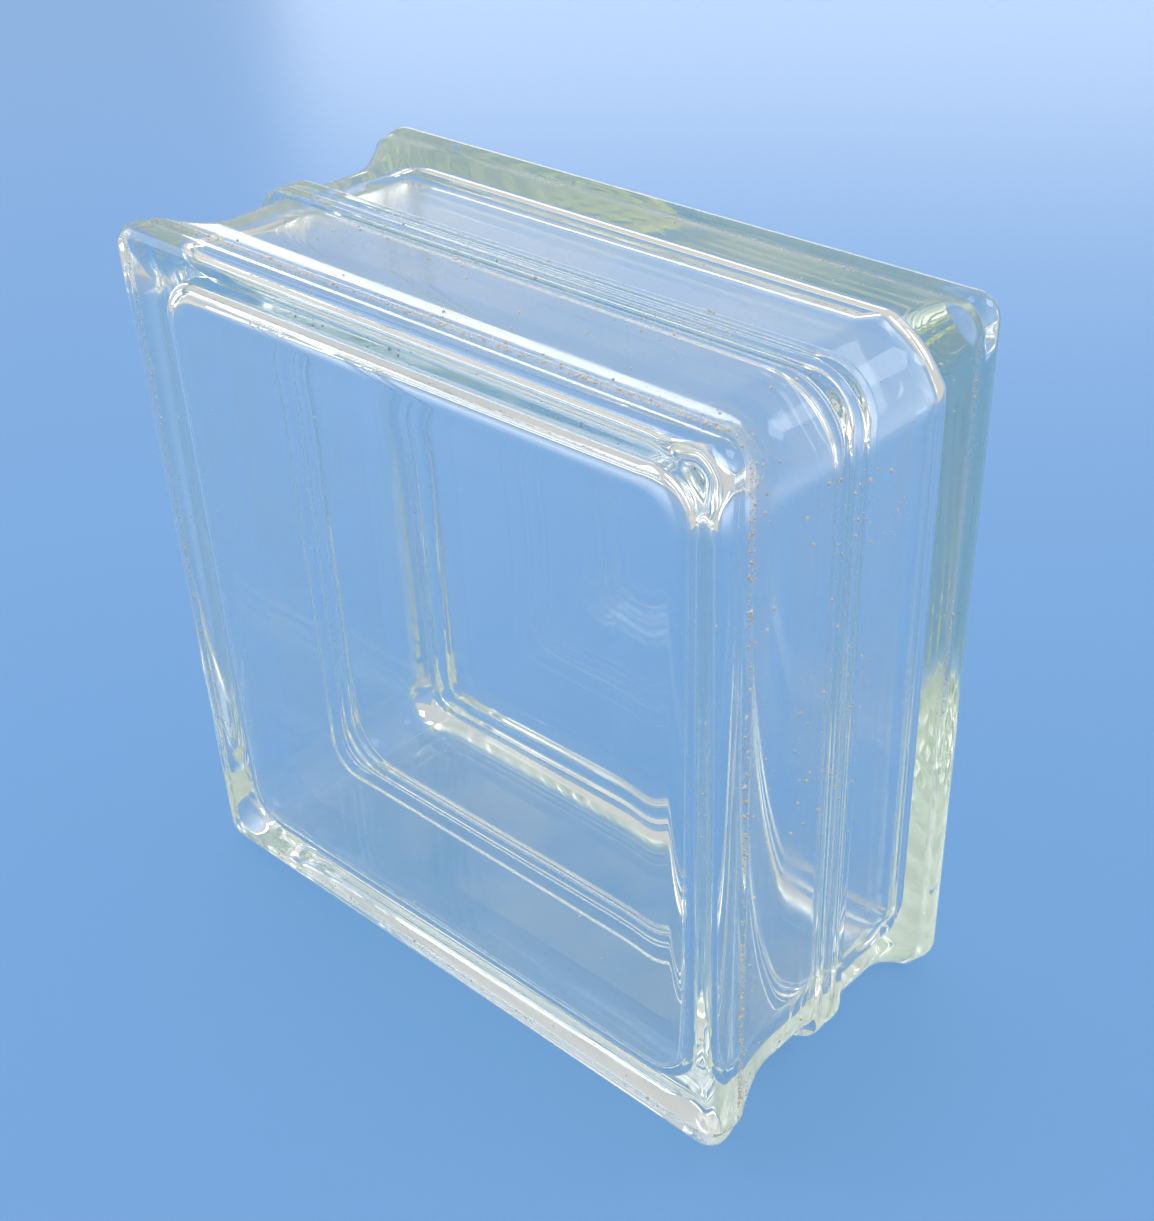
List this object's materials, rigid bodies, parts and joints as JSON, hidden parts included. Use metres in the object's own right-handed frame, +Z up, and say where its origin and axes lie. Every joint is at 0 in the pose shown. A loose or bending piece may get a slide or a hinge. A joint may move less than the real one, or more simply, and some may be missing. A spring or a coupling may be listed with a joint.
{
  "type": "glass block",
  "caption": "Hollow square glass block pressed as dishes and fused at mid thickness, with rounded flanges and mortar channels round its edge, for laying walls that let light through.",
  "frame": {"origin": "centre of the block's underside, in the plane of its lower flange lands", "axes": "+X along the width, +Y through the thickness from the near face to the far face, +Z up the height"},
  "size_m": [0.197, 0.098, 0.197],
  "materials": {
    "pressed_glass": "clear pressed glass, fire polished, faint green in the thick edges"
  },
  "bodies": {
    "root": {"glass_block": "pressed_glass"}
  },
  "joints": []
}
